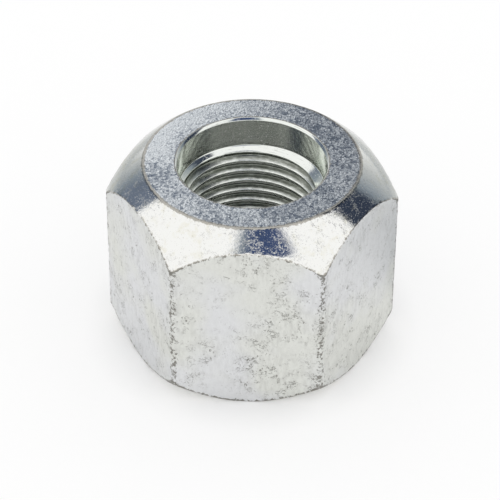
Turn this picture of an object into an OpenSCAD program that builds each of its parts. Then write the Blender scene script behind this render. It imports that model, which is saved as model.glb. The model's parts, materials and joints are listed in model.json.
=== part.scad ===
// Open hexagonal wheel nut with a ball seat, a counterbored mouth and a threaded hole right through.
// The origin is on the axis of the hole, in the plane of the flat base. The ball seat points up.

/* [Hexagon] */
// Width across the flats
across_flats = 43.7; // [42:0.05:44.45]
// Height from the base to the rim
nut_height = 34.9; // [30:0.1:45]
// Radius of the rounded vertical edges
edge_round = 1.35; // [0.2:0.05:3]

/* [Ball seat] */
// Radius of the ball, whose centre is on the axis: 1-3/16 in
seat_radius = 30.16; // [26:0.01:36]
// Diameter of the flat rim at the top of the seat
rim_d = 37; // [33:0.1:40]
// Radius of the round where the rim meets the seat
rim_round = 0.5; // [0.1:0.1:1]

/* [Base] */
// Diameter of the flat base, inside the corner chamfer
base_d = 43.6; // [40:0.1:46]
// Slope of the corner chamfer, measured from the plane of the base, in degrees
base_angle = 45; // [15:1:60]
// Radius of the round between the base and its chamfer
base_round = 0.5; // [0.1:0.1:1.5]

/* [Hole] */
// Diameter of the hole at the crests of the thread
crest_d = 21.9; // [18:0.01:22.5]
// Diameter at which the lead-in starts in the base
lead_in_d = 25; // [24:0.1:30]
// Slope of the lead-in, measured from the plane of the base, in degrees
lead_in_angle = 45; // [30:1:60]

/* [Counterbore] */
// Diameter of the counterbore
counterbore_d = 25.2; // [24:0.1:30]
// Depth of the counterbore's straight wall below the rim
counterbore_depth = 5.6; // [2:0.1:10]
// Slope of the countersink between the counterbore and the thread, in degrees
countersink_angle = 34; // [15:1:60]
// Width and depth of the bevel around the mouth, which slopes at 45 degrees
mouth_bevel = 0.4; // [0.1:0.05:1]

/* [Hidden] */
$fn = 96;

// Steps in each rounded corner of a turned outline
ARC_STEPS = 4;
// How far a shape runs past the metal that it cuts or is cut by
SPARE = 2;
// Angle by which the round of the rim stops short of the seat's slope, so that both meet in a clear edge
RIM_STOP = 8;
SIDES = 6;
TURN = 360 / SIDES;

flat_r = across_flats / 2;
edge_r = flat_r - edge_round;
edge_circle_r = edge_r / cos(TURN / 2);
outer_r = edge_circle_r + edge_round + SPARE;

rim_r = rim_d / 2;
base_r = base_d / 2;
crest_r = crest_d / 2;
lead_in_r = lead_in_d / 2;
counterbore_r = counterbore_d / 2;

seat_centre_z = nut_height - sqrt(pow(seat_radius, 2) - pow(rim_r, 2));
seat_slope_at_rim = asin(rim_r / seat_radius);

lead_in_depth = (lead_in_r - crest_r) * tan(lead_in_angle);
countersink_depth = (counterbore_r - crest_r) * tan(countersink_angle);
counterbore_floor_z = nut_height - counterbore_depth;
thread_top_z = counterbore_floor_z - countersink_depth;

function unit(v) = v / norm(v);

// Points of an arc of the given radius that rounds one corner of an outline
function rounded(before, corner, after, radius) =
    let (
        u = unit(before - corner),
        v = unit(after - corner),
        half = acos(u * v) / 2,
        centre = corner + unit(u + v) * radius / sin(half),
        first = corner + u * radius / tan(half) - centre,
        last = corner + v * radius / tan(half) - centre,
        sweep = 180 - 2 * half
    )
    [for (i = [0:ARC_STEPS])
        let (t = i / ARC_STEPS)
        centre + (first * sin((1 - t) * sweep) + last * sin(t * sweep)) / sin(sweep)];

// Hexagonal bar with rounded edges: a block across each pair of flats and a rod in each corner.
// It runs past the nut at both ends, where the turned outline cuts it to length.
module hexagonal_bar() {
    side = 2 * edge_r * tan(TURN / 2);
    bar_length = nut_height + 2 * SPARE;
    translate([0, 0, nut_height / 2]) {
        for (i = [1:SIDES / 2])
            rotate([0, 0, i * TURN])
                cube([side, across_flats, bar_length], center = true);
        for (i = [1:SIDES])
            rotate([0, 0, i * TURN])
                translate([edge_circle_r, 0, 0])
                    cylinder(r = edge_round, h = bar_length, center = true);
    }
}

// Turned outside: flat base, corner chamfer, room for the bar, ball seat and the round edge of the flat rim.
// The ball's centre is on the axis, and the outline above the chamfer only cuts it at the rim.
module turned_outside() {
    chamfer_top = [outer_r, (outer_r - base_r) * tan(base_angle)];
    rim_foot = [outer_r, nut_height - (outer_r - rim_r) * tan(seat_slope_at_rim - RIM_STOP)];
    base_centre = [0, 0];
    rim_centre = [0, nut_height];
    intersection() {
        rotate_extrude()
            polygon(concat(
                [base_centre],
                rounded(base_centre, [base_r, 0], chamfer_top, base_round),
                [chamfer_top, rim_foot],
                rounded(rim_foot, [rim_r, nut_height], rim_centre, rim_round),
                [rim_centre]
            ));
        translate([0, 0, seat_centre_z])
            sphere(r = seat_radius);
    }
}

// Everything cut from inside: lead-in, threaded hole, countersink, counterbore and mouth bevel
module turned_inside() {
    below = lead_in_r + SPARE / tan(lead_in_angle);
    above = counterbore_r + mouth_bevel + SPARE;
    rotate_extrude()
        polygon([
            [0, -SPARE],
            [below, -SPARE],
            [crest_r, lead_in_depth],
            [crest_r, thread_top_z],
            [counterbore_r, counterbore_floor_z],
            [counterbore_r, nut_height - mouth_bevel],
            [above, nut_height + SPARE],
            [0, nut_height + SPARE]
        ]);
}

module cap_nut() {
    color([0.78, 0.79, 0.78])
        difference() {
            intersection() {
                hexagonal_bar();
                turned_outside();
            }
            turned_inside();
        }
}

cap_nut();
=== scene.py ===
"""Open ball seat wheel nut of bright zinc-plated steel, with forged flats, turned seat and cut thread."""

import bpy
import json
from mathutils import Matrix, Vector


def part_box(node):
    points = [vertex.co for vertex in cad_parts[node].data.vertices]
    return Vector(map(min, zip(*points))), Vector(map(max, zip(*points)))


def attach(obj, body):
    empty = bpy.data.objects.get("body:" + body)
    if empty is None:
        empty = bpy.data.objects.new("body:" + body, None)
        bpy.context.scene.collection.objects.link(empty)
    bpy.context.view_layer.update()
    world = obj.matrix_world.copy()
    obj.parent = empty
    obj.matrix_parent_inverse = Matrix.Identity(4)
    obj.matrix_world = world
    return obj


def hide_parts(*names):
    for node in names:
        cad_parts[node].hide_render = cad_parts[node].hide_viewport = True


bl_info = {
    "name": "Ball Seat Wheel Nut",
    "version": (1, 0, 0),
    "blender": (4, 5, 0),
    "location": "3D View > Sidebar > Wheel Nut",
    "description": "Builds a worn zinc-plated wheel nut with a ball seat, and a small studio to see it in",
    "category": "Object",
}

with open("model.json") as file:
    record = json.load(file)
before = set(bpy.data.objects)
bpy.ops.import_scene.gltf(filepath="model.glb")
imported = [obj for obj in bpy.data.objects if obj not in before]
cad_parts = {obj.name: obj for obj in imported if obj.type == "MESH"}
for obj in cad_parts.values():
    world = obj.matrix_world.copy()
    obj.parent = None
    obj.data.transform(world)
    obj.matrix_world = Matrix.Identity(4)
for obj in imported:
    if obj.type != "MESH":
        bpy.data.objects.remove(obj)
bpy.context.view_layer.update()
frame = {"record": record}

import json
import math

import bpy
import numpy as np
from bpy.props import FloatProperty, FloatVectorProperty, IntProperty, PointerProperty
from mathutils import Euler, Matrix

MM = 0.001
NODE = "cap_nut"
SIDES = 6
SECTOR = 2 * math.pi / SIDES

LOW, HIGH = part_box(NODE)
MOUNTS = {mount["name"]: mount for mount in frame["record"]["mounts"]}
THREAD_HOLE = MOUNTS["thread"]["dims"]
COUNTERBORE = MOUNTS["counterbore"]["dims"]
COUNTERBORE_MID = MOUNTS["counterbore"]["pos_m"][2]
COUNTERBORE_HALF = COUNTERBORE["length_mm"] * MM / 2

ZONES = ("base", "flat", "seat", "rim", "bore", "thread")

# How far below the mouth's bevel the outside grid ends and the inside grid starts
OUTSIDE_END = 0.3 * MM
INSIDE_START = 0.6 * MM

# Width of the band of wear along each kind of edge, which along the arcs and the chamfer also carries
# painted shade
WEAR_WIDTH = {
    "upright": 1.3 * MM, "arc": 0.4 * MM, "chamfer": 0.55 * MM, "rim": 0.35 * MM, "mouth": 0.3 * MM,
}
# Share that each band has in the wear and painted shade attributes, which the finishes read
WEAR_AND_SHADE_SHARE = {
    # The arc and chamfer bands are painted shade: dark lines where the seat and the base chamfer meet the
    # flats
    "edge_wear": {"upright": 0.67, "arc": 0.66, "chamfer": 0.9},
    "line_wear": {"rim": 1.0, "mouth": 0.8, "arc": 0.6},
}

# Width of the camera's sensor in millimetres, and of the picture in pixels
SENSOR_WIDTH = 36
PICTURE_SIZE = 500
# Distance in metres from the nut to the cards that it mirrors, and to the gap between the lamps
CARD_DISTANCE = 0.3
LAMP_DISTANCE = 0.6
HALF_FLOOR = 3.0


def linear(code):
    """An sRGB hex colour as linear red, green and blue."""
    parts = [int(code[i:i + 2], 16) / 255 for i in (1, 3, 5)]
    return tuple(c / 12.92 if c <= 0.04045 else ((c + 0.055) / 1.055) ** 2.4 for c in parts)


def length(name, description, default):
    return FloatProperty(name=name, description=description, default=default, unit="LENGTH", precision=5)


def angle(name, description, degrees):
    return FloatProperty(name=name, description=description, default=math.radians(degrees), subtype="ANGLE")


def number(name, description, default):
    return FloatProperty(name=name, description=description, default=default)


def colour(name, description, code):
    return FloatVectorProperty(
        name=name, description=description, default=linear(code), subtype="COLOR", size=3, min=0, max=1
    )


class NutSizes(bpy.types.PropertyGroup):
    """Sizes of the nut, which start from the packed model"""

    across_flats: length("Across flats", "Width across the flats", HIGH.y - LOW.y)
    height: length("Height", "Height from the base to the rim", HIGH.z - LOW.z)
    edge_round: length("Edge round", "Radius of the rounded vertical edges", 1.35 * MM)
    arc_round: length("Arc round", "Width of the soft corner where the seat cuts a flat", 0.28 * MM)
    rim_diameter: length("Rim diameter", "Diameter of the flat rim at the top of the seat", 37 * MM)
    rim_round: length("Rim round", "Radius of the round where the rim meets the seat", 0.5 * MM)
    seat_radius: length("Seat radius", "Radius of the ball that shapes the seat, 1-3/16 in", 30.16 * MM)
    base_diameter: length("Base diameter", "Diameter of the flat base", 43.6 * MM)
    base_round: length("Base round", "Radius of the round between the base and its chamfer", 0.5 * MM)
    base_angle: angle("Base angle", "Slope of the corner chamfer from the plane of the base", 45)
    counterbore_radius: length("Counterbore radius", "Radius of the counterbore", COUNTERBORE["r_mm"] * MM)
    counterbore_floor: length(
        "Counterbore floor", "Height of the foot of its wall", COUNTERBORE_MID - COUNTERBORE_HALF
    )
    mouth_foot: length(
        "Mouth foot", "Height of the foot of the bevel around the mouth", COUNTERBORE_MID + COUNTERBORE_HALF
    )
    countersink_angle: angle("Countersink angle", "Slope of the countersink above the thread", 34)
    crest_radius: length("Crest radius", "Radius of the hole at the crests", THREAD_HOLE["r_mm"] * MM)
    root_radius: length("Root radius", "Radius of the hole at the roots, half of 15/16 in", 11.906 * MM)
    pitch: length("Pitch", "Rise of one turn, 1/12 in", 2.1167 * MM)
    crest_height: length("Crest height", "Height of one crest on the side that faces +Y", 26.58 * MM)
    lead_in_radius: length("Lead-in radius", "Radius at which the lead-in starts in the base", 12.5 * MM)


class NutWear(bpy.types.PropertyGroup):
    """Dents and nicks from tumbling with other nuts"""

    edge_depth: length("Edge nicks", "Depth of the deepest nicks on the vertical edges", 0.3 * MM)
    arc_depth: length("Arc nicks", "Depth of the deepest nicks where the seat cuts the flats", 0.08 * MM)
    rim_depth: length("Rim nicks", "Depth of the deepest nicks on the edge of the rim", 0.06 * MM)
    waviness: length("Waviness", "How far the forged flats wander from true", 0.015 * MM)
    seed: IntProperty(name="Seed", description="Start of the random wear", default=11)


class NutFinish(bpy.types.PropertyGroup):
    """Colours of the plated surfaces"""

    seat: colour("Seat", "Bright zinc on the turned seat", "#F5F5F2")
    seat_stain: colour("Seat stain", "Yellowish stain of the passivation on the seat", "#E9E6D6")
    seat_mark: colour("Seat mark", "Scratches and pits of the seat", "#A9A69C")
    flat_cool: colour("Flat, cool", "Zinc on the forged flats", "#E3E4E5")
    flat_warm: colour("Flat, warm", "Zinc on the forged flats where the passivation is thicker", "#E3E4DF")
    rim_light: colour("Rim, light", "Bright grains of the rim", "#EAEEF1")
    rim_dark: colour("Rim, dark", "Dark grains of the rim", "#7C8694")
    # Along the arcs this colour is painted shade, a dark line where the seat meets the flats
    pressed_and_shaded: colour("Pressed edge", "Dull pressed zinc along the rim and the arcs", "#ABA79E")
    # On the thread's crests this colour is painted light
    bore: colour("Bore", "Zinc on the drilled walls", "#F1F4EF")
    # In the thread's grooves this colour is painted shade
    thread: colour("Thread", "Thin zinc on the cut thread", "#80847B")
    # Along the arcs and the chamfer this colour is painted shade, dark lines where the seat and the base
    # chamfer meet the flats
    pit: colour("Pit", "Dirt and bare steel in pits and scratches", "#69665D")
    edge: colour("Edge", "Bruised zinc along the edges", "#7A776F")


class StudioSetup(bpy.types.PropertyGroup):
    """Camera and surroundings"""

    azimuth: angle("Azimuth", "Turn of the camera about the nut", 1.78)
    elevation: angle("Elevation", "Height of the camera above the horizon", 38.11)
    roll: angle("Roll", "Tilt of the camera about its own axis", 0.32)
    distance: length("Distance", "From the middle of the nut to the camera", 393.3 * MM)
    lens: number("Lens", "Focal length on a 36 mm sensor, in mm", 163.04)
    aim_x: number("Aim across", "Pixels from the picture's middle to the nut's", 1.67)
    aim_y: number("Aim up", "Pixels from the picture's middle up to the nut's", 7.6)
    white: colour("White", "Floor and walls", "#FFFFFF")
    flag: colour("Flag", "Dark cloth flags on both sides", "#343C4C")
    thin_flag: colour("Thin flag", "Thinner cloth of the flag on the left", "#6A7485")
    flag_edge: colour("Flag's edge", "Edge of a flag, where it lets light past", "#848E98")
    near_table: colour("Near table", "Part of the table beside the right flat", "#AEB2B3")
    table: colour("Table", "Far part of the table", "#C2C5C5")
    opening: colour("Opening", "Dark gap between the lamps over the camera", "#404F72")


def outline_corner(before, corner, after, size, steps):
    """Rounded corner of an outline: the parabola that leaves one leg at the given distance before the
    corner and joins the other leg as far behind it, p(t) = (1-t)^2 a + 2t(1-t) corner + t^2 b."""
    longest_share = 0.45
    reach_in = np.linalg.norm(before - corner, axis=-1, keepdims=True)
    reach_out = np.linalg.norm(after - corner, axis=-1, keepdims=True)
    cut = np.minimum(size, longest_share * np.minimum(reach_in, reach_out))
    a = corner + (before - corner) * cut / reach_in
    b = corner + (after - corner) * cut / reach_out
    t = np.linspace(0, 1, steps + 1)[:, None, None]
    return (1 - t) ** 2 * a + 2 * t * (1 - t) * corner + t ** 2 * b


def leg(start, end, rows):
    """Points between two ends of an outline's straight leg, closer together near both ends: p(t) = start
    + (end - start) * mix(t, (1 - cos(pi t)) / 2)."""
    even, crowded = 0.62, 0.38
    t = np.arange(1, rows + 1) / (rows + 1)
    t = even * t + crowded * (1 - np.cos(np.pi * t)) / 2
    return start + (end - start) * t[:, None, None]


def outline(knots, corners, legs, curves):
    """Rows of points along an outline with rounded corners. knots has one (columns, 2) array of radius
    and height for each corner and both ends, corners a (size, steps) pair for each corner, and legs the
    rows on each leg. curves gives, for a leg that isn't straight, its height at a radius, and its corners
    lean towards a point nearby on the curve."""
    nearby = 0.1

    def towards(start, end):
        between = min(start, end)
        if between not in curves:
            return knots[end]
        radius = knots[start][..., 0] + nearby * (knots[end][..., 0] - knots[start][..., 0])
        return pair(radius, curves[between](radius), radius)

    bends = [
        outline_corner(towards(i, i - 1), knots[i], towards(i, i + 1), *corners[i - 1])
        for i in range(1, len(corners) + 1)
    ]
    starts = [knots[0][None]] + bends
    ends = bends + [knots[-1][None]]
    rows = [knots[0][None]]
    for i, count in enumerate(legs):
        middle = leg(starts[i][-1], ends[i][0], count)
        if i in curves:
            middle[..., 1] = curves[i](middle[..., 0])
        rows += [middle, ends[i]]
    return np.concatenate(rows)


def column_angles(sizes, across_flat, across_edge):
    """Angles of the columns all round the hexagon, in rising order from 0. Along each flat they are
    evenly spaced, angle = atan(s / flat_r), and across each rounded edge they are evenly spaced in angle,
    much closer together."""
    flat_r = sizes.across_flats / 2
    half_side = (flat_r - sizes.edge_round) * math.tan(SECTOR / 2)
    flat = np.arctan(np.linspace(-half_side, half_side, across_flat) / flat_r)
    edge = np.linspace(flat[-1], SECTOR - flat[-1], across_edge + 2)[1:-1]
    middles = (np.arange(SIDES) + 0.5) * SECTOR
    return np.sort((middles[:, None] + np.concatenate([flat, edge])[None]).ravel() % (2 * math.pi))


def from_flat_middle(angles):
    """Angle of each column from the middle of the flat that is nearest to it."""
    return angles % SECTOR - SECTOR / 2


def hexagon_radius(sizes, angles):
    """Distance from the axis to the rounded hexagon: flat_r / cos(a) on a flat, where a is measured from
    the middle of the flat, and on an edge the far crossing with a circle of radius edge_round about the
    corner's centre."""
    rounding_error = 1e-9
    flat_r = sizes.across_flats / 2
    inner_r = flat_r - sizes.edge_round
    a = from_flat_middle(angles)
    centre = inner_r / math.cos(SECTOR / 2)
    b = SECTOR / 2 - np.abs(a)
    on_flat = np.abs(a) <= math.atan(inner_r * math.tan(SECTOR / 2) / flat_r) + rounding_error
    reach = np.sqrt(np.maximum(sizes.edge_round ** 2 - (centre * np.sin(b)) ** 2, 0))
    return np.where(on_flat, flat_r / np.cos(a), centre * np.cos(b) + reach)


def lattice_noise(points, cell, seed):
    """Smooth random field from -1 to 1: random values on a cubic lattice, blended between the eight
    corners around each point with the weight t * t * (3 - 2 t) along each axis."""
    side = 32
    table = np.random.default_rng(seed).uniform(-1, 1, (side, side, side))
    q = points / cell
    low = np.floor(q).astype(int)
    t = q - low
    t = t * t * (3 - 2 * t)
    total = np.zeros(points.shape[:-1])
    for corner in np.ndindex(2, 2, 2):
        weight = np.prod(np.where(corner, t, 1 - t), axis=-1)
        i, j, k = np.moveaxis((low + corner) % side, -1, 0)
        total += weight * table[i, j, k]
    return total


def grid_normals(points):
    """Unit normals of a grid of rows and closed columns: the cross product of the steps along both."""
    shortest = 1e-12
    along = np.gradient(points, axis=0)
    round_about = np.roll(points, -1, axis=1) - np.roll(points, 1, axis=1)
    n = np.cross(round_about, along)
    return n / np.maximum(np.linalg.norm(n, axis=-1, keepdims=True), shortest)


def revolve(outline_rows, angles):
    """Carries an outline round the axis: (radius cos a, radius sin a, height)."""
    radius, height = outline_rows[..., 0], outline_rows[..., 1]
    return np.stack([radius * np.cos(angles), radius * np.sin(angles), height], axis=-1)


def pair(radius, height, like):
    """One corner of an outline for every column, from numbers or arrays."""
    return np.stack([np.broadcast_to(radius, like.shape), np.broadcast_to(height, like.shape)], axis=-1)


def outside_rows(sizes, angles):
    """The nut's outside from the lead-in in the base, out along the base, up the flats, up the seat,
    across the rim and over the bevel into the mouth. The seat is a ball about a point on the axis, height
    = centre + sqrt(seat_radius^2 - radius^2). Returns the outline of every column, the zone of each row
    of faces, and the edges that wear, by name."""
    r = hexagon_radius(sizes, angles)
    base_r = sizes.base_diameter / 2
    rim_r = sizes.rim_diameter / 2
    bevel = sizes.height - sizes.mouth_foot
    ball_centre = sizes.height - math.sqrt(sizes.seat_radius ** 2 - rim_r ** 2)

    def seat_height(radius):
        return ball_centre + np.sqrt(sizes.seat_radius ** 2 - radius ** 2)

    step_in = 0.15 * MM
    knots = [
        pair(sizes.lead_in_radius - step_in, step_in, r),
        pair(sizes.lead_in_radius, 0, r),
        pair(base_r, 0, r),
        pair(r, (r - base_r) * math.tan(sizes.base_angle), r),
        pair(r, seat_height(r), r),
        pair(rim_r, sizes.height, r),
        pair(sizes.counterbore_radius + bevel, sizes.height, r),
        pair(sizes.counterbore_radius, sizes.mouth_foot, r),
        pair(sizes.counterbore_radius, sizes.mouth_foot - OUTSIDE_END, r),
    ]
    edges = {"chamfer": knots[3], "arc": knots[4], "rim": knots[5], "mouth": knots[6]}

    lead_in_round = 0.05 * MM
    base_tangent = sizes.base_round * math.tan(sizes.base_angle / 2)
    chamfer_round = 0.3 * MM
    rim_tangent = sizes.rim_round * math.tan(math.asin(rim_r / sizes.seat_radius) / 2)
    bevel_round = 0.06 * MM
    mouth_round = 0.07 * MM
    corners = [
        (lead_in_round, 2), (base_tangent, 4), (chamfer_round, 3), (sizes.arc_round, 4),
        (rim_tangent, 5), (bevel_round, 2), (mouth_round, 2),
    ]
    legs = [0, 3, 2, 50, 22, 9, 1, 0]
    zones = ["bore", "base", "base", "flat", "seat", "rim", "bore", "bore"]
    rows = outline(knots, corners, legs, {zones.index("seat"): seat_height})

    row_zones = []
    for i, count in enumerate(legs):
        row_zones += [zones[i]] * (count + 1)
        if i < len(corners):
            steps = corners[i][1]
            first_half = steps // 2
            row_zones += [zones[i]] * first_half + [zones[i + 1]] * (steps - first_half)
    return rows, row_zones, edges


def inside_rows(sizes, like):
    """The counterbore's wall below the mouth and the countersink, down to where the thread's roots
    begin."""
    slope = math.tan(sizes.countersink_angle)
    foot = sizes.counterbore_floor - (sizes.counterbore_radius - sizes.root_radius) * slope
    knots = [
        pair(sizes.counterbore_radius, sizes.mouth_foot - INSIDE_START, like),
        pair(sizes.counterbore_radius, sizes.counterbore_floor, like),
        pair(sizes.root_radius, foot, like),
    ]
    floor_round = 0.15 * MM
    return outline(knots, [(floor_round, 3)], [5, 3], {})[:-1], foot


def thread_rows(sizes, angles, top, foot):
    """Rows that follow the thread: row k of a column at angle a lies at height = start + pitch * (a / 2
    pi - turns(k)), so after a full turn each row meets the one that lies a pitch higher. The radius
    depends on where the row lies in its pitch, phase 0 being the middle of a flat crest and sunk its
    share of the depth. The countersink and the lead-in cut the thread back, which drilled marks, and rows
    beyond either end are folded onto its ring. The crest light share is painted light and shade: it is 1
    on the crests, which paints them light, and fades out to painted shade where the thread is sunk to the
    given share. It is also 1 wherever the thread is cut back, because a drill leaves metal brighter than
    a tap does. far_side is the share of a turn at which a column faces +Y, where the crest's height is
    given."""
    depth = sizes.root_radius - sizes.crest_radius
    phase = np.array([-0.46, -0.39, -0.3, -0.21, -0.145, -0.12, 0.08, 0.11, 0.26, 0.42])
    sunk = np.array([1.0, 0.86, 0.56, 0.27, 0.05, 0.0, 0.0, 0.05, 0.45, 0.97])
    shade_from, fade = 0.46, 0.4
    spare_turns = 1.2
    far_side = 0.25

    per_turn = len(phase)
    count = math.ceil((top - foot) / sizes.pitch + spare_turns) + 1
    turns = (np.arange(count)[:, None] + phase[None] - phase[0]).ravel()
    crest = sizes.crest_height - sizes.pitch * (far_side - phase[0])
    start = crest + math.ceil((top - crest) / sizes.pitch) * sizes.pitch
    height = start + sizes.pitch * (angles[None] / (2 * math.pi) - turns[:, None])
    radius = sizes.crest_radius + depth * sunk
    ring = np.tile(radius, count)[:, None] + np.zeros_like(height)
    # Painted light on the crests, fading to painted shade in the grooves
    crest_light_root_shade = np.tile(np.clip((shade_from - sunk) / fade, 0, 1), count)[:, None] + np.zeros_like(height)

    slope = math.tan(sizes.countersink_angle)
    thread_top = sizes.counterbore_floor - (sizes.counterbore_radius - sizes.crest_radius) * slope
    countersink = sizes.crest_radius + (height - thread_top) / slope
    lead_in = sizes.lead_in_radius - height
    tool_cut = np.maximum(countersink, lead_in)
    drilled = tool_cut > ring
    crest_light_root_shade = np.where(drilled, 1, crest_light_root_shade)
    ring = np.maximum(ring, tool_cut)

    above, below = height >= top, height <= foot
    height = np.clip(height, foot, top)
    ring = np.where(above | below, sizes.root_radius, ring)
    return np.stack([ring, height], axis=-1), above, below, drilled, crest_light_root_shade, per_turn


def quads_between(upper, lower):
    """Four-sided faces between two rows, or stacks of rows, of vertex numbers whose columns close on
    themselves."""
    corners = [upper, np.roll(upper, -1, axis=-1), np.roll(lower, -1, axis=-1), lower]
    return np.stack(corners, axis=-1).reshape(-1, 4)


def zip_rows(fine, coarse, fine_first):
    """Triangles between a row of 2n vertices and a row of n, three for each vertex of the coarse row."""
    a, b, c = fine[0::2], fine[1::2], np.roll(fine, -1)[1::2]
    p, q = coarse, np.roll(coarse, -1)
    if fine_first:
        parts = [(a, b, p), (b, q, p), (b, c, q)]
    else:
        parts = [(p, q, b), (q, c, b), (p, b, a)]
    return np.concatenate([np.stack(t, axis=-1) for t in parts])


def nut_surface(sizes, wear):
    """Vertices, faces with their zones, and wear and painted shade attributes of the closed surface. The
    outside and the inside are two grids of rows and columns; the inside has half as many columns, and
    both are zipped together at the mouth and at the lead-in. One attribute says how bright the cut thread
    is: painted light on its crests and painted shade in its grooves."""
    angles = column_angles(sizes, across_flat=68, across_edge=12)
    out_rows, out_zones, edges = outside_rows(sizes, angles)
    outside = revolve(out_rows, angles)
    outside, worn_and_shaded = worn_and_shaded_outside(outside, out_rows, angles, wear, edges)

    half = angles[0::2]
    in_rows, top = inside_rows(sizes, half)
    inside = revolve(in_rows, half)
    foot = sizes.lead_in_radius - sizes.root_radius
    helix, above, below, drilled, crest_light_root_shade, per_turn = thread_rows(sizes, half, top, foot)
    thread = revolve(helix, half)
    top_ring = revolve(pair(sizes.root_radius, top, half)[None], half)
    foot_ring = revolve(pair(sizes.root_radius, foot, half)[None], half)

    blocks = [outside, inside, top_ring, thread, foot_ring]
    numbers, total = [], 0
    for grid in blocks:
        n = grid.shape[0] * grid.shape[1]
        numbers.append(np.arange(total, total + n).reshape(grid.shape[:2]))
        total += n
    out_n, in_n, top_n, thread_n, foot_n = numbers
    coil_n = np.where(above, top_n, np.where(below, foot_n, thread_n))

    next_turn = np.concatenate([np.repeat(top_n[:, :1], per_turn, axis=0), coil_n[:-per_turn, :1]])
    right = np.concatenate([coil_n[:, 1:], next_turn], axis=1)
    coil = np.stack([coil_n[:-1], right[:-1], right[1:], coil_n[1:]], axis=-1).reshape(-1, 4)

    both_rows = drilled[:-1] & drilled[1:]
    drilled_face = both_rows & np.roll(both_rows, -1, axis=1)

    bore_zone, thread_zone = ZONES.index("bore"), ZONES.index("thread")
    row_zones = [ZONES.index(zone) for zone in out_zones]
    parts = [
        (quads_between(out_n[:-1], out_n[1:]), np.repeat(row_zones, len(angles))),
        (quads_between(in_n[:-1], in_n[1:]), bore_zone),
        (quads_between(in_n[-1:], top_n), bore_zone),
        (coil, np.where(drilled_face.ravel(), bore_zone, thread_zone)),
        (zip_rows(out_n[-1], in_n[0], fine_first=True), bore_zone),
        (zip_rows(out_n[0], foot_n[0], fine_first=False), bore_zone),
    ]
    vertices = np.concatenate([grid.reshape(-1, 3) for grid in blocks])
    worn_and_shaded = {name: np.append(values, np.zeros(total - values.size)) for name, values in worn_and_shaded.items()}
    # Painted light on the thread's crests and painted shade in its grooves
    worn_and_shaded["crest_shine"] = np.zeros(total)
    worn_and_shaded["crest_shine"][thread_n] = crest_light_root_shade
    return vertices, parts, worn_and_shaded


def worn_and_shaded_outside(points, rows, angles, wear, edges):
    """Sinks nicks into the outside along its normals. Each kind of edge has a band in which the nicks may
    lie, exp(-(distance / width)^2), and a threshold on random fields of two grain sizes decides where
    they are. Returns the nicked points and, by name, the attributes that the bands add up to: wear along
    the vertical edges, the rim and the mouth, and painted shade lines along the arcs and the chamfer."""
    radius, height = rows[..., 0], rows[..., 1]
    from_middle = np.abs(from_flat_middle(angles))
    arc_r, arc_z = edges["arc"][..., 0], edges["arc"][..., 1]
    base_z = edges["chamfer"][..., 1]
    beyond, within = 0.1 * MM, 0.3 * MM
    on_wall = (height > base_z - beyond) & (height < arc_z + beyond) & (radius > arc_r - within)

    distances = {
        name: np.hypot(radius - edge[..., 0], height - edge[..., 1]) for name, edge in edges.items()
    }
    short_of_edge = (math.sin(SECTOR / 2) - np.sin(from_middle))[None]
    distances["upright"] = radius * short_of_edge / math.cos(SECTOR / 2)
    bands = {name: np.exp(-(distance / WEAR_WIDTH[name]) ** 2) for name, distance in distances.items()}
    bands["upright"] = np.where(on_wall, bands["upright"], 0)

    coarse = 0.65 * lattice_noise(points, cell=1.2 * MM, seed=wear.seed)
    fine = 0.75 * lattice_noise(points, cell=0.55 * MM, seed=wear.seed + 1)
    threshold, full = 0.12, 0.8
    nick = np.clip(coarse + fine - threshold, 0, full) / full
    deepest = (
        bands["upright"] * wear.edge_depth + (bands["arc"] + bands["chamfer"]) * wear.arc_depth
        + bands["rim"] * wear.rim_depth
    )
    waves = (1 + lattice_noise(points, cell=4 * MM, seed=wear.seed + 2)) / 2
    depth = nick * deepest + np.where(on_wall, wear.waviness * waves, 0)
    # Along the arcs and the chamfer these attributes paint shade: dark lines where the rounds meet the
    # flats
    attributes = {
        attribute: np.clip(sum(share * bands[name] for name, share in shares.items()), 0, 1)
        for attribute, shares in WEAR_AND_SHADE_SHARE.items()
    }
    return points - grid_normals(points) * depth[..., None], attributes


def make_mesh(name, vertices, parts, worn_and_shaded):
    """A mesh from vertices, (faces, zone) parts and attributes of wear and painted shade. Four-sided faces
    that are folded along one side become triangles, those folded along two are left out, and vertices
    that no face uses are dropped."""
    triangles, quads = [], []
    for faces, zone in parts:
        zone = np.broadcast_to(zone, len(faces))
        if faces.shape[1] == 3:
            triangles.append((faces, zone))
            continue
        folded_start = faces[:, 0] == faces[:, 3]
        folded_end = faces[:, 1] == faces[:, 2]
        whole = ~folded_start & ~folded_end
        quads.append((faces[whole], zone[whole]))
        start_only, end_only = folded_start & ~folded_end, folded_end & ~folded_start
        triangles.append((faces[start_only][:, [0, 1, 2]], zone[start_only]))
        triangles.append((faces[end_only][:, [0, 1, 3]], zone[end_only]))
    quad_faces = np.concatenate([f for f, z in quads])
    triangle_faces = np.concatenate([f for f, z in triangles])
    zones = np.concatenate([z for f, z in quads] + [z for f, z in triangles])
    used = np.unique(np.concatenate([quad_faces.ravel(), triangle_faces.ravel()]))
    renumber = np.zeros(len(vertices), int)
    renumber[used] = np.arange(len(used))
    mesh = bpy.data.meshes.new(name)
    faces = renumber[quad_faces].tolist() + renumber[triangle_faces].tolist()
    mesh.from_pydata(vertices[used].tolist(), [], faces)
    mesh.polygons.foreach_set("material_index", zones.astype(np.int32))
    mesh.polygons.foreach_set("use_smooth", np.ones(len(faces), bool))
    for kind, values in worn_and_shaded.items():
        attribute = mesh.attributes.new(kind, "FLOAT", "POINT")
        attribute.data.foreach_set("value", values[used].astype(np.float32))
    mesh.update()
    return mesh


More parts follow.
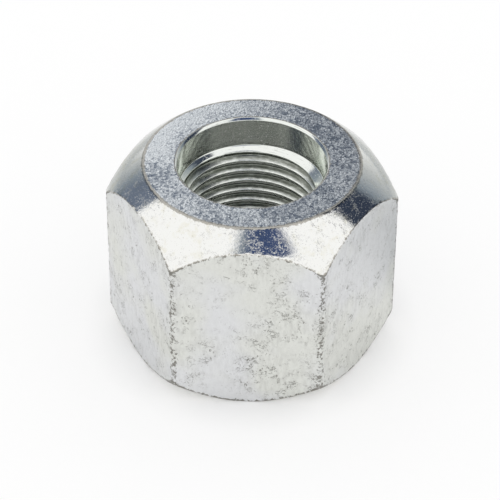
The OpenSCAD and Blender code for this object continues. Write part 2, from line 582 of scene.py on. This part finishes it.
def add(tree, kind, inputs=None, out=0, **settings):
    """Adds one node with its settings and returns one of its outputs. inputs maps a socket's name or
    number to a value or to another node's output."""
    node = tree.nodes.new(kind)
    for key, value in settings.items():
        setattr(node, key, value)
    for key, value in (inputs or {}).items():
        if isinstance(value, bpy.types.NodeSocket):
            tree.links.new(value, node.inputs[key])
        else:
            node.inputs[key].default_value = value
    return node.outputs[out] if len(node.outputs) else None


def new_material(name):
    material = bpy.data.materials.new(name)
    material.use_nodes = True
    tree = material.node_tree
    tree.nodes.clear()
    return material, tree


def four(rgb):
    return (*rgb, 1)


def object_millimetres(tree):
    """Object coordinates in millimetres, so that a pattern's scale is one over its grain in
    millimetres."""
    place = add(tree, "ShaderNodeTexCoord", out="Object")
    return add(tree, "ShaderNodeVectorMath", {0: place, "Scale": 1 / MM}, operation="SCALE")


def mapped(tree, value, between, to=(0.0, 1.0)):
    """The value, so that the range between becomes the range to, and no result lies outside it."""
    return add(tree, "ShaderNodeMapRange", {
        "Value": value, "From Min": between[0], "From Max": between[1], "To Min": to[0], "To Max": to[1],
    }, clamp=True)


def combined(tree, operation, first, second, **settings):
    """Two values put together by one operation of a Math node."""
    return add(tree, "ShaderNodeMath", {0: first, 1: second}, operation=operation, **settings)


def blend(tree, share, first, second):
    """The first colour where the share is 0, the second where it is 1. A Mix node has its colours in
    sockets 6 and 7 and gives them out in socket 2."""
    return add(tree, "ShaderNodeMix", {"Factor": share, 6: first, 7: second}, out=2, data_type="RGBA")


def grains(tree, place, size, between, to=(0.0, 1.0), detail=2.0, swirl=0.0, stretch=(1, 1, 1)):
    """Random grain of the given size in millimetres, mapped from one range to another. stretch squeezes
    it along each axis."""
    squeezed = add(tree, "ShaderNodeMapping", {"Vector": place, "Scale": stretch})
    noise = add(tree, "ShaderNodeTexNoise", {
        "Vector": squeezed, "Scale": 1 / size, "Detail": detail, "Roughness": 0.6, "Distortion": swirl,
    })
    return mapped(tree, noise, between, to)


def scratches(tree, place, size, width, patches, share):
    """Short thin crooked scratches: the lines where a swirling grain passes through its middle value,
    kept only in patches of another grain. share is how dark the darkest are."""
    middle = 0.5
    rising = grains(tree, place, size, (middle - width, middle), detail=3.0, swirl=1.5)
    falling = grains(tree, place, size, (middle, middle + width), to=(1.0, 0.0), detail=3.0, swirl=1.5)
    where = grains(tree, place, patches, (0.53, 0.62), to=(0.0, share), detail=3.0)
    return combined(tree, "MULTIPLY", combined(tree, "MULTIPLY", rising, falling), where)


def wear_and_shade_along_edge(tree, place, attribute, broken_by, between):
    """Share of an edge colour along an edge, from an attribute of wear and painted shade that a grain
    breaks up by the given amount."""
    worn_and_shaded = add(tree, "ShaderNodeAttribute", out="Fac", attribute_name=attribute)
    breaks = grains(tree, place, 0.6, (0.25, 0.75), to=(-broken_by, broken_by), detail=5.0, swirl=0.6)
    return mapped(tree, combined(tree, "ADD", worn_and_shaded, breaks), between, to=(0.0, 0.85))


def bruised_and_shaded_edges(tree, place):
    """Share of the edge colour: bruising along the vertical edges, and painted shade lines along the arcs
    and the chamfer.
    """
    return wear_and_shade_along_edge(tree, place, "edge_wear", broken_by=0.6, between=(0.66, 0.8))


def dulled_and_shaded_lines(tree, place, base, finish):
    """The base colour with dull zinc, flattened by pressing, along the edge of the rim, and painted shade
    lines along the arcs.
    """
    dulled_and_shaded = wear_and_shade_along_edge(tree, place, "line_wear", broken_by=0.45, between=(0.3, 0.6))
    return blend(tree, dulled_and_shaded, base, four(finish.pressed_and_shaded))


def close_metal(tree, base, roughness, height, distance):
    """Closes a plated metal: its colour, its roughness and one bump from a height field, whose full
    height is the given distance in millimetres."""
    relief = add(tree, "ShaderNodeBump", {"Strength": 1.0, "Distance": distance * MM, "Height": height})
    shader = add(tree, "ShaderNodeBsdfPrincipled", {
        "Base Color": base, "Metallic": 1.0, "Roughness": roughness, "Normal": relief,
    })
    add(tree, "ShaderNodeOutputMaterial", {"Surface": shader})


def forged_zinc(finish):
    """Zinc plating over a forged and tumbled flat: matt light grey with a silky glow, a little warm where
    the passivation is thicker, streaked along the bar, peppered with pits and scratches, with bruising
    along its vertical edges and painted shade lines along the arcs and the chamfer."""
    material, tree = new_material("forged_zinc")
    place = object_millimetres(tree)
    warm = grains(tree, place, 16.0, (0.42, 0.58))
    streaks = grains(tree, place, 0.7, (0.42, 0.72), to=(0.0, 0.2), detail=5.0, stretch=(1, 1, 0.4))
    short_scratches = scratches(tree, place, size=1.3, width=0.028, patches=1.9, share=1.0)
    long_scratches = scratches(tree, place, size=2.6, width=0.014, patches=3.0, share=0.9)
    clusters = grains(tree, place, 3.0, (0.42, 0.65), to=(0.0, 0.13))
    specks = grains(tree, place, 0.42, (0.0, 1.0), detail=3.0, swirl=0.8)
    pits = mapped(tree, combined(tree, "ADD", specks, clusters), (0.68, 0.76), to=(0.0, 0.8))
    marks = combined(tree, "MAXIMUM", streaks, short_scratches)
    marks = combined(tree, "MAXIMUM", marks, long_scratches)
    marks = combined(tree, "MAXIMUM", marks, pits)
    marks = combined(tree, "MULTIPLY", marks, grains(tree, place, 9.0, (0.42, 0.58), to=(0.35, 1.0)))
    # Bruising along the vertical edges, and painted shade lines along the arcs and the chamfer
    bruised_and_shaded = bruised_and_shaded_edges(tree, place)

    base = blend(tree, warm, four(finish.flat_cool), four(finish.flat_warm))
    base = blend(tree, marks, base, four(finish.pit))
    base = blend(tree, bruised_and_shaded, base, four(finish.edge))
    roughness = grains(tree, place, 0.5, (0.3, 0.7), to=(0.34, 0.5), detail=3.0)
    hollows = combined(tree, "ADD", marks, bruised_and_shaded)
    height = combined(tree, "SUBTRACT", grains(tree, place, 0.3, (0.0, 1.0), detail=3.0), hollows)
    close_metal(tree, base, roughness, height, distance=0.05)
    return material


def turned_zinc(finish):
    """Zinc plating over a finely turned seat: bright and close to a mirror, with faint yellowish stains,
    fine scratches and pits in which its mirror image breaks up."""
    material, tree = new_material("turned_zinc")
    place = object_millimetres(tree)
    stains = grains(tree, place, 1.8, (0.52, 0.7), to=(0.0, 0.6), detail=3.0)
    fine_scratches = scratches(tree, place, size=1.1, width=0.022, patches=2.2, share=0.6)
    pits = grains(tree, place, 0.4, (0.66, 0.72), to=(0.0, 0.7), detail=3.0, swirl=0.8)
    marks = combined(tree, "MAXIMUM", fine_scratches, pits)
    flecks = grains(tree, place, 0.3, (0.54, 0.7), to=(0.0, 0.7), detail=4.0)

    base = blend(tree, stains, four(finish.seat), four(finish.seat_stain))
    base = blend(tree, marks, base, four(finish.seat_mark))
    # Along the arcs and the chamfer these two blends paint dark lines of shade; elsewhere they are bruising
    # and dull zinc
    base = blend(tree, bruised_and_shaded_edges(tree, place), base, four(finish.edge))
    base = dulled_and_shaded_lines(tree, place, base, finish)
    roughness = mapped(tree, combined(tree, "MAXIMUM", marks, flecks), (0.0, 1.0), to=(0.07, 0.6))
    height = combined(tree, "SUBTRACT", grains(tree, place, 0.5, (0.0, 1.0), detail=4.0), marks)
    close_metal(tree, base, roughness, height, distance=0.014)
    return material


def grained_zinc(finish):
    """Zinc plating over the sheared rim: a coarse torn grain of bright and dark crystals. Towards -X and +Y
    the rim has painted light, with hardly any dark crystals. It fades out along a line across the rim,
    whose start and end are measured in millimetres from the axis."""
    material, tree = new_material("grained_zinc")
    place = object_millimetres(tree)
    crystal_size = 0.36
    away_from_painted_light = (0.7, -0.7, 0.0)
    crystals = add(tree, "ShaderNodeTexVoronoi", {"Vector": place, "Scale": 1 / crystal_size}, out="Color")
    drift = grains(tree, place, 5.5, (0.35, 0.65), to=(-0.18, 0.18), detail=3.0)
    across = add(tree, "ShaderNodeVectorMath", {0: place, 1: away_from_painted_light}, out="Value", operation="DOT_PRODUCT")
    # Painted light: the rim's back left, towards -X and +Y, is lighter, with fewer dark crystals
    rim_painted_light = mapped(tree, across, (-18.0, -8.0), to=(-0.42, 0.03))
    crystals = combined(tree, "ADD", crystals, drift)
    crystals = combined(tree, "ADD", crystals, rim_painted_light)

    dark = mapped(tree, crystals, (0.25, 0.92))
    base = blend(tree, dark, four(finish.rim_light), four(finish.rim_dark))
    base = dulled_and_shaded_lines(tree, place, base, finish)
    height = grains(tree, place, 0.28, (0.3, 0.7))
    close_metal(tree, base, roughness=0.13, height=height, distance=0.035)
    return material


def bored_zinc(finish):
    """Zinc plating over drilled and countersunk walls: smooth, with faint rings from the tool, a few
    pits, and matt flecks."""
    material, tree = new_material("bored_zinc")
    place = object_millimetres(tree)
    pits = grains(tree, place, 0.4, (0.66, 0.74), to=(0.0, 0.5), detail=3.0)
    rings = grains(tree, place, 1.0, (0.55, 0.75), to=(0.0, 0.35), stretch=(0.3, 0.3, 6.0))
    base = blend(tree, combined(tree, "MAXIMUM", pits, rings), four(finish.bore), four(finish.pit))
    roughness = grains(tree, place, 0.35, (0.56, 0.8), to=(0.12, 0.5), detail=4.0)
    height = grains(tree, place, 1.0, (0.0, 1.0), stretch=(0.3, 0.3, 9.0))
    close_metal(tree, base, roughness, height, distance=0.004)
    return material


def cut_zinc(finish):
    """Thin zinc plating over a cut thread, with a torn grain along the cut. The crests have painted light,
    and the grooves painted shade, darker and a little green."""
    material, tree = new_material("cut_zinc")
    place = object_millimetres(tree)
    crests = add(tree, "ShaderNodeAttribute", out="Fac", attribute_name="crest_shine")
    torn = grains(tree, place, 0.5, (0.35, 0.65), to=(-0.15, 0.25), detail=3.0, stretch=(0.5, 0.5, 2.0))
    # Painted light on the crests and painted shade in the grooves, from the thread's attribute
    bright = combined(tree, "ADD", crests, torn, use_clamp=True)
    base = blend(tree, bright, four(finish.thread), four(finish.bore))
    height = grains(tree, place, 0.35, (0.0, 1.0), detail=3.0)
    close_metal(tree, base, roughness=0.24, height=height, distance=0.01)
    return material


def material_for_zone(finish):
    turned = turned_zinc(finish)
    made = {
        "base": turned, "flat": forged_zinc(finish), "seat": turned, "rim": grained_zinc(finish),
        "bore": bored_zinc(finish), "thread": cut_zinc(finish),
    }
    return [made[zone] for zone in ZONES]


def glow(name, steps):
    """A glow that runs through the given (place, colour) steps across the sheet, place 0 to 1 along its
    own u. The steps at both ends come first, because a new colour ramp has them already."""
    material, tree = new_material(name)
    own = add(tree, "ShaderNodeTexCoord", out="UV")
    across = add(tree, "ShaderNodeSeparateXYZ", {"Vector": own}, out="X")
    colours = add(tree, "ShaderNodeValToRGB", {"Fac": across})
    ramp = colours.node.color_ramp
    for i, (place, rgb) in enumerate(steps):
        step = ramp.elements[i] if i < 2 else ramp.elements.new(place)
        step.position = place
        step.color = four(rgb)
    shader = add(tree, "ShaderNodeEmission", {"Color": colours, "Strength": 1.0})
    add(tree, "ShaderNodeOutputMaterial", {"Surface": shader})
    return material


def white_paper(rgb, even_share, inner, outer):
    """Matt white paper. Where the camera or a mirror sees it, a share of it is evenly white, so that the
    shadow on it stays but is lighter. That share starts at the inner distance from the middle and is
    whole at the outer one, in millimetres, so the paper under the nut stays dark."""
    material, tree = new_material("white_paper")
    place = object_millimetres(tree)
    from_middle = add(tree, "ShaderNodeVectorMath", {0: place}, out="Value", operation="LENGTH")
    share = mapped(tree, from_middle, (inner, outer), to=(0.0, even_share))
    rays = add(tree, "ShaderNodeLightPath").node.outputs
    mirrored = combined(tree, "MAXIMUM", rays["Is Glossy Ray"], rays["Is Transmission Ray"])
    seen = combined(tree, "MAXIMUM", rays["Is Camera Ray"], mirrored)
    paper = add(tree, "ShaderNodeBsdfDiffuse", {"Color": four(rgb)})
    even = add(tree, "ShaderNodeEmission", {"Color": four(rgb), "Strength": 1.0})
    share = combined(tree, "MULTIPLY", seen, share)
    shader = add(tree, "ShaderNodeMixShader", {0: share, 1: paper, 2: even})
    add(tree, "ShaderNodeOutputMaterial", {"Surface": shader})
    return material


def sheet_mesh(name, surface, across, along, material):
    """A stage object: surface(u, v) on a grid of u and v from 0 to 1 gives its points."""
    u, v = np.meshgrid(np.linspace(0, 1, across + 1), np.linspace(0, 1, along + 1))
    points = surface(u, v).reshape(-1, 3)
    numbers = np.arange(len(points)).reshape(along + 1, across + 1)
    faces = np.stack([numbers[:-1, :-1], numbers[:-1, 1:], numbers[1:, 1:], numbers[1:, :-1]], axis=-1)
    mesh = bpy.data.meshes.new(name)
    mesh.from_pydata(points.tolist(), [], faces.reshape(-1, 4).tolist())
    corners = faces.reshape(-1)
    own = mesh.uv_layers.new(name="own")
    own.data.foreach_set("uv", np.stack([u.ravel()[corners], v.ravel()[corners]], axis=-1).ravel())
    mesh.materials.append(material)
    sheet = bpy.data.objects.new(name, mesh)
    bpy.context.scene.collection.objects.link(sheet)
    return sheet


def only_mirrored(sheet):
    """The sheet shows in reflections, and neither to the camera nor to the light on the floor."""
    sheet.visible_camera = False
    sheet.visible_diffuse = False
    sheet.visible_shadow = False
    sheet.visible_transmission = False


def direction(azimuth, elevation):
    """Unit vectors: azimuth 0 points along -Y and grows towards +X, elevation grows towards +Z."""
    return np.stack([
        np.sin(azimuth) * np.cos(elevation), -np.cos(azimuth) * np.cos(elevation), np.sin(elevation),
    ], axis=-1)


def card_around(middle, distance, azimuths, elevations):
    """A card bent round the nut: middle + distance * direction(azimuth, elevation), both between two
    angles."""
    def surface(u, v):
        azimuth = azimuths[0] + (azimuths[1] - azimuths[0]) * u
        elevation = elevations[0] + (elevations[1] - elevations[0]) * v
        return np.array(middle) + distance * direction(azimuth, elevation)
    return surface


def ring_on_floor(height, radii, azimuths):
    """Part of a flat ring on the floor: (radius sin a, -radius cos a, height)."""
    def surface(u, v):
        radius = radii[0] + (radii[1] - radii[0]) * u
        azimuth = azimuths[0] + (azimuths[1] - azimuths[0]) * v
        return radius[..., None] * direction(azimuth, 0 * azimuth) + np.array([0, 0, height])
    return surface


def light_room(scene, setup):
    """An evenly white room."""
    world = bpy.data.worlds.new("white_room")
    world.use_nodes = True
    world.node_tree.nodes.clear()
    light = add(world.node_tree, "ShaderNodeBackground", {"Color": four(setup.white), "Strength": 1.0})
    add(world.node_tree, "ShaderNodeOutputWorld", {"Surface": light})
    scene.world = world


def place_floor(setup):
    """A wide flat sheet of white paper at height 0, with the nut on its middle."""
    def surface(u, v):
        return np.stack([(2 * u - 1) * HALF_FLOOR, (2 * v - 1) * HALF_FLOOR, 0 * u], axis=-1)

    paper = white_paper(setup.white, even_share=0.6, inner=21.0, outer=30.0)
    sheet_mesh("floor", surface, across=1, along=1, material=paper)


def place_cards(setup, middle):
    """Flags on both sides of the nut and behind it, and the dark gap between the lamps above the camera.
    Angles are in degrees about the nut's middle, and each card's glow runs from its first azimuth to its
    last."""
    def card(name, distance, azimuths, elevations, steps):
        around = card_around(middle, distance, np.radians(azimuths) + setup.azimuth, np.radians(elevations))
        only_mirrored(sheet_mesh(name, around, across=32, along=16, material=glow(name, steps)))

    card("right_flag", CARD_DISTANCE, (91, 158), (-6, 60), [
        (0.0, setup.white), (1.0, setup.white), (0.02, setup.flag), (0.38, setup.flag),
        (0.46, setup.flag_edge), (0.7, setup.table),
    ])
    card("left_flag", CARD_DISTANCE, (-106, -160), (-6, 40), [
        (0.0, setup.white), (1.0, setup.white), (0.02, setup.thin_flag), (0.36, setup.thin_flag),
        (0.48, setup.flag_edge), (0.7, setup.table),
    ])
    card("rim_flag", CARD_DISTANCE, (158, 180.5), (10, 58), [
        (0.0, setup.white), (1.0, setup.white), (0.3, setup.flag), (0.64, setup.flag),
        (0.79, setup.flag_edge),
    ])
    card("rim_flag_high", CARD_DISTANCE, (180.5, 200), (40, 58), [
        (0.0, setup.flag_edge), (1.0, setup.white), (0.5, setup.flag_edge),
    ])
    card("gap", LAMP_DISTANCE, (-20, 43), (43, 68), [
        (0.0, setup.white), (1.0, setup.white), (0.14, setup.flag_edge), (0.32, setup.opening),
        (0.86, setup.opening),
    ])


def place_table(setup):
    """Grey parts of the table, which lie just above the white floor and show only in the metal."""
    far_glow = glow("far_table", [
        (0.0, setup.white), (1.0, setup.flag_edge), (0.4, setup.table), (0.7, setup.table),
    ])
    far_sector = np.radians((110, 250)) + setup.azimuth
    far_ring = ring_on_floor(height=0.5 * MM, radii=(50 * MM, 300 * MM), azimuths=far_sector)
    only_mirrored(sheet_mesh("table", far_ring, across=32, along=16, material=far_glow))

    near_glow = glow("near_table", [(0.0, setup.near_table), (1.0, setup.white), (0.7, setup.near_table)])
    near_sector = np.radians((98, 152)) + setup.azimuth
    near_ring = ring_on_floor(height=0.4 * MM, radii=(26 * MM, 80 * MM), azimuths=near_sector)
    only_mirrored(sheet_mesh("near_table", near_ring, across=16, along=16, material=near_glow))


def place_camera(scene, setup, middle):
    """The camera looks at the nut's middle, turned by the azimuth and raised by the elevation. It is then
    rolled about its own axis and shifted, so that the nut sits in the frame as in the photo."""
    camera = bpy.data.cameras.new("camera")
    camera.lens = setup.lens
    camera.sensor_width = SENSOR_WIDTH
    camera.shift_x = -setup.aim_x / PICTURE_SIZE
    camera.shift_y = -setup.aim_y / PICTURE_SIZE
    camera.clip_start = 0.01
    camera.clip_end = 20
    holder = bpy.data.objects.new("camera", camera)
    holder.location = np.array(middle) + setup.distance * direction(setup.azimuth, setup.elevation)
    level = Euler((math.pi / 2 - setup.elevation, 0, setup.azimuth)).to_matrix()
    holder.rotation_euler = (level @ Matrix.Rotation(setup.roll, 3, "Z")).to_euler()
    scene.collection.objects.link(holder)
    scene.camera = holder


class NUT_OT_body(bpy.types.Operator):
    """Builds the nut as one closed surface in place of its CAD solid"""

    bl_idname = "nut.body"
    bl_label = "Build nut"

    def execute(self, context):
        scene = context.scene
        vertices, parts, worn_and_shaded = nut_surface(scene.nut_sizes, scene.nut_wear)
        mesh = make_mesh("wheel_nut", vertices, parts, worn_and_shaded)
        for material in material_for_zone(scene.nut_finish):
            mesh.materials.append(material)
        nut = bpy.data.objects.new("wheel_nut", mesh)
        scene.collection.objects.link(nut)
        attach(nut, "root")
        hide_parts(NODE)
        return {"FINISHED"}


class NUT_OT_studio(bpy.types.Operator):
    """Sets up the floor, the light, the cards that the metal mirrors, and the camera"""

    bl_idname = "nut.studio"
    bl_label = "Build studio"

    def execute(self, context):
        scene = context.scene
        setup = scene.nut_studio
        middle = (0, 0, scene.nut_sizes.height / 2)
        light_room(scene, setup)
        place_floor(setup)
        place_cards(setup, middle)
        place_table(setup)
        place_camera(scene, setup, middle)
        scene.view_settings.view_transform = "Standard"
        return {"FINISHED"}


class NUT_PT_panel(bpy.types.Panel):
    """Lists the nut's steps and settings"""

    bl_idname = "NUT_PT_panel"
    bl_label = "Wheel Nut"
    bl_space_type = "VIEW_3D"
    bl_region_type = "UI"
    bl_category = "Wheel Nut"

    def draw(self, context):
        for step in STEPS:
            self.layout.operator(step.bl_idname)
        for pointer, group in SETTINGS.items():
            box = self.layout.box()
            box.label(text=group.__doc__)
            for name in group.__annotations__:
                box.prop(getattr(context.scene, pointer), name)


SETTINGS = {"nut_sizes": NutSizes, "nut_wear": NutWear, "nut_finish": NutFinish, "nut_studio": StudioSetup}
STEPS = (NUT_OT_body, NUT_OT_studio)
CLASSES = (*SETTINGS.values(), *STEPS, NUT_PT_panel)


def register():
    for cls in CLASSES:
        bpy.utils.register_class(cls)
    for pointer, group in SETTINGS.items():
        setattr(bpy.types.Scene, pointer, PointerProperty(type=group))


def unregister():
    for pointer in SETTINGS:
        delattr(bpy.types.Scene, pointer)
    for cls in reversed(CLASSES):
        bpy.utils.unregister_class(cls)


def main():
    register()
    bpy.ops.nut.body()
    bpy.ops.nut.studio()


if __name__ == "__main__":
    main()
